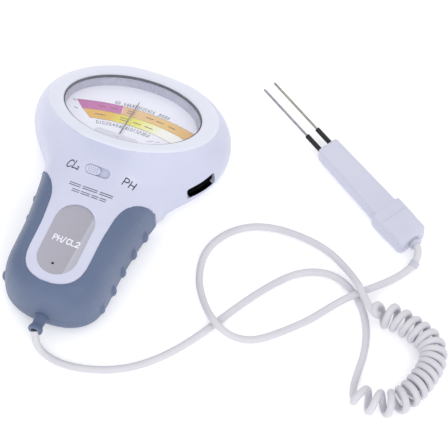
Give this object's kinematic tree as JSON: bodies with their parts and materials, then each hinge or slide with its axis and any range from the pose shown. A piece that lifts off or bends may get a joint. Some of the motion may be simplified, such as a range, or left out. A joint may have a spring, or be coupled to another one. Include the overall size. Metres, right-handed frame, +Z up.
{
  "type": "pool water tester",
  "caption": "Hand-held needle-type pool water tester with tilted round dial, slide selector, soft-grip handle and two-pin probe on a curly cord.",
  "frame": {"origin": "on the flat back, under the middle of the label plate", "axes": "+X across the handle, +Y from the handle's end towards the head, +Z up out of the front face"},
  "size_m": [0.2437, 0.1898, 0.0547],
  "materials": {
    "case_white": "satin moulded plastic",
    "grip_blue": "soft matt rubber",
    "bezel_white": "semi-gloss moulded plastic",
    "lens_clear": "clear polished plastic",
    "seal_dark": "matt rubber",
    "surround_grey": "fine ribbed grey plastic",
    "dial_print": "printed sheet",
    "needle_black": "matt black paint",
    "coil_copper": "enamelled copper wire",
    "steel": "bright steel",
    "brass": "turned brass",
    "magnet_dark": "sintered magnet",
    "frame_black": "moulded black plastic",
    "board_green": "solder-masked board",
    "part_tan": "resistor enamel",
    "trimmer_blue": "moulded trimmer",
    "label_silver": "satin printed foil",
    "pocket_dark": "dark moulded liner",
    "cord_white": "soft vinyl",
    "probe_white": "satin moulded plastic",
    "sleeve_black": "heat-shrink sleeve",
    "copper_pin": "bare copper alloy",
    "zinc_pin": "bare zinc",
    "wire_red": "wire insulation",
    "wire_black": "wire insulation"
  },
  "bodies": {
    "case": {"front_cover": "case_white", "rear_cover": "case_white", "grip_front": "grip_blue", "grip_rear": "grip_blue", "case_screws": "steel", "bezel_ring": "bezel_white", "window_lens": "lens_clear", "window_seal": "seal_dark", "dial_surround": "surround_grey", "dial_plate": "dial_print", "meter_frame": "frame_black", "meter_yoke": "steel", "meter_magnet": "magnet_dark", "core_clamp": "brass", "jewel_bearings": "brass", "meter_bridge": "bezel_white", "meter_screws": "steel", "slide_switch": "frame_black", "circuit_board": "board_green", "board_screws": "steel", "board_posts": "case_white", "trimmer_body": "trimmer_blue", "resistors": "part_tan", "probe_leads": "wire_red", "meter_leads": "wire_black", "label_plate": "label_silver", "probe_pocket": "pocket_dark", "cable_gland": "grip_blue", "cord_lead_gland": "cord_white", "cord_lead_probe": "cord_white", "cord_coil": "cord_white", "cord_collar": "cord_white", "probe_shell_top": "probe_white", "probe_shell_bottom": "probe_white", "pin_sleeves": "sleeve_black", "electrode_copper": "copper_pin", "electrode_zinc": "zinc_pin", "pin_carrier": "sleeve_black", "probe_wires": "wire_red", "probe_strain_relief": "cord_white", "cord_tail": "cord_white"},
    "pointer": {"pointer": "needle_black", "moving_coil": "coil_copper", "pivot_staff": "steel", "hairspring": "brass"},
    "selector": {"selector_knob": "bezel_white", "switch_contact": "brass"},
    "trimmer": {"trimmer_rotor": "bezel_white"}
  },
  "joints": [
    {"name": "pointer_swing", "type": "hinge", "parent": "case", "child": "pointer", "pos_m": [0.0022, 0.05908, 0.04729], "axis": [0, 0.5329, 0.8462], "range_deg": [-45, 38]},
    {"name": "selector_slide", "type": "slide", "parent": "case", "child": "selector", "axis": [1, 0, 0], "range_m": [0, 0.005]},
    {"name": "trimmer_turn", "type": "hinge", "parent": "case", "child": "trimmer", "pos_m": [-0.0007, -0.0145, 0.027], "axis": [0, 0, 1], "range_deg": [-135, 135]}
  ]
}
